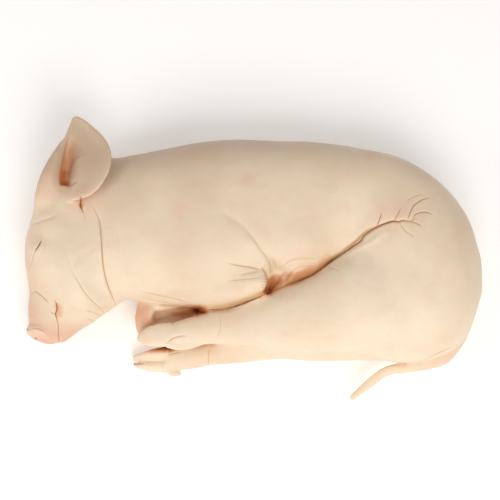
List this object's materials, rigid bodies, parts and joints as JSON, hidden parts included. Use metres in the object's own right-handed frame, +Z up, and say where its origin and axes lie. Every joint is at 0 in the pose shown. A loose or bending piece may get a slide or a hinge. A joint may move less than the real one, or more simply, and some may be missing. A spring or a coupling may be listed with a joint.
{
  "type": "raw suckling pig",
  "caption": "Whole dressed suckling pig, raw, lying on its side with bent neck and folded legs, pale bare skin with deep folds, for a kitchen, shop or banquet scene.",
  "frame": {"origin": "on the table, under the middle of the lying pig's footprint", "axes": "+X towards the rump with the head at -X, +Y towards the back, +Z up through the shown left side"},
  "size_m": [0.5006, 0.308, 0.1166],
  "materials": {
    "pale_skin": "pale cream scalded skin, faintly moist, pinker at the snout, ear, feet and tail"
  },
  "bodies": {
    "root": {"suckling_pig": "pale_skin"}
  },
  "joints": []
}
